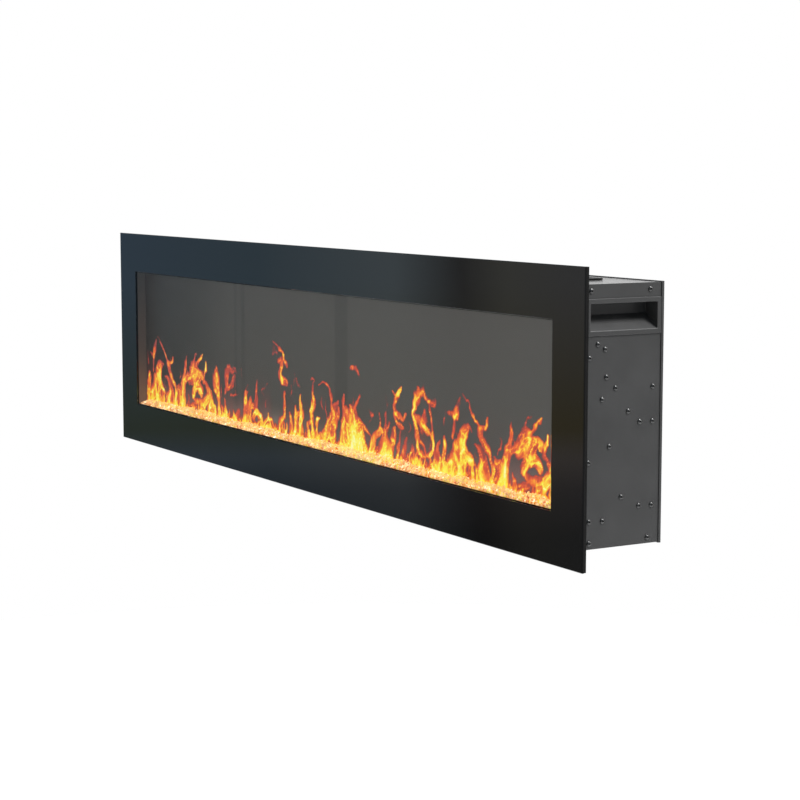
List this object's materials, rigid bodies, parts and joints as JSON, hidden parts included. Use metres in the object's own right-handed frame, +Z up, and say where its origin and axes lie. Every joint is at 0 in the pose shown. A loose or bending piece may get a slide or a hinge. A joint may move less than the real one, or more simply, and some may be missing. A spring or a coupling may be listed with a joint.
{
  "type": "electric fireplace",
  "caption": "Recessed linear electric fireplace: wide black glass front, clear window, glowing crystal bed and flame screen, sheet-metal body that goes into the wall.",
  "frame": {"origin": "centre of the body's underside (the face of the bottom pan that rests in the wall opening)", "axes": "+X to the viewer's right along the glass front, +Y into the wall, +Z up"},
  "size_m": [1.83, 0.175, 0.476],
  "materials": {
    "black_glass": "polished, opaque black back-painted",
    "clear_glass": "polished clear",
    "frosted_acrylic": "frosted grey, lit from behind",
    "clear_acrylic": "clear, lit from below",
    "ember_crystal": "clear crushed crystal, lit orange",
    "satin_steel": "satin powder coat",
    "black_steel": "satin black powder coat",
    "screw_black": "black oxide",
    "black_plastic": "moulded, fine texture",
    "rocker_plastic": "moulded, semi-gloss",
    "galvanised_steel": "zinc coated",
    "mirror_foil": "polished reflector",
    "circuit_board": "solder mask",
    "white_nylon": "moulded",
    "heater_ceramic": "ceramic and aluminium fins"
  },
  "bodies": {
    "unit": {"back_cover": "satin_steel", "blower_bush": "white_nylon", "blower_housing": "galvanised_steel", "blower_motor": "satin_steel", "bottom_pan": "satin_steel", "cable_gland": "black_plastic", "chamber_ceiling": "black_steel", "chamber_floor": "galvanised_steel", "chamber_side_left": "black_steel", "chamber_side_right": "black_steel", "control_board": "circuit_board", "corner_screw_left_1": "screw_black", "corner_screw_left_2": "screw_black", "corner_screw_left_3": "screw_black", "corner_screw_left_4": "screw_black", "corner_screw_right_1": "screw_black", "corner_screw_right_2": "screw_black", "corner_screw_right_3": "screw_black", "corner_screw_right_4": "screw_black", "ember_bed": "ember_crystal", "ember_led_board": "circuit_board", "ember_tray": "clear_acrylic", "end_plate_left": "galvanised_steel", "end_plate_right": "galvanised_steel", "flame_led_board": "circuit_board", "flame_mask": "mirror_foil", "flame_screen": "frosted_acrylic", "front_glass": "black_glass", "front_subframe": "black_steel", "grip_cup_left": "satin_steel", "grip_cup_right": "satin_steel", "heater_duct": "galvanised_steel", "heater_shelf": "galvanised_steel", "led_rail": "galvanised_steel", "pane_holder": "black_steel", "power_supply": "galvanised_steel", "ptc_heater": "heater_ceramic", "rear_reflector": "mirror_foil", "rocker_housing": "black_plastic", "screen_channel_bottom": "galvanised_steel", "screen_channel_top": "galvanised_steel", "side_panel_left": "satin_steel", "side_panel_right": "satin_steel", "spindle_bracket": "galvanised_steel", "spindle_bush": "white_nylon", "spindle_motor_left": "galvanised_steel", "spindle_motor_right": "galvanised_steel", "terminal_block": "white_nylon", "thermal_cutout": "black_plastic", "top_cover": "satin_steel", "top_vent_grille": "black_steel", "touch_board": "circuit_board", "viewing_glass": "clear_glass"},
    "spindle_left": {"flicker_spindle_left": "mirror_foil", "spindle_coupling_left": "white_nylon"},
    "spindle_right": {"flicker_spindle_right": "mirror_foil", "spindle_coupling_right": "white_nylon"},
    "blower": {"blower_rotor": "galvanised_steel"},
    "rocker": {"power_rocker": "rocker_plastic"}
  },
  "joints": [
    {"name": "spindle_left_spin", "type": "hinge", "parent": "unit", "child": "spindle_left", "pos_m": [0, -0.0146, 0.07], "axis": [1, 0, 0], "continuous": true},
    {"name": "spindle_right_spin", "type": "hinge", "parent": "unit", "child": "spindle_right", "pos_m": [0, -0.0146, 0.07], "axis": [1, 0, 0], "continuous": true},
    {"name": "blower_spin", "type": "hinge", "parent": "unit", "child": "blower", "pos_m": [0, 0.0551, 0.38965], "axis": [1, 0, 0], "continuous": true},
    {"name": "power_rocker_tip", "type": "hinge", "parent": "unit", "child": "rocker", "pos_m": [-0.884, 0.0421, 0.06], "axis": [0, 1, 0], "range_deg": [0, 20]}
  ]
}
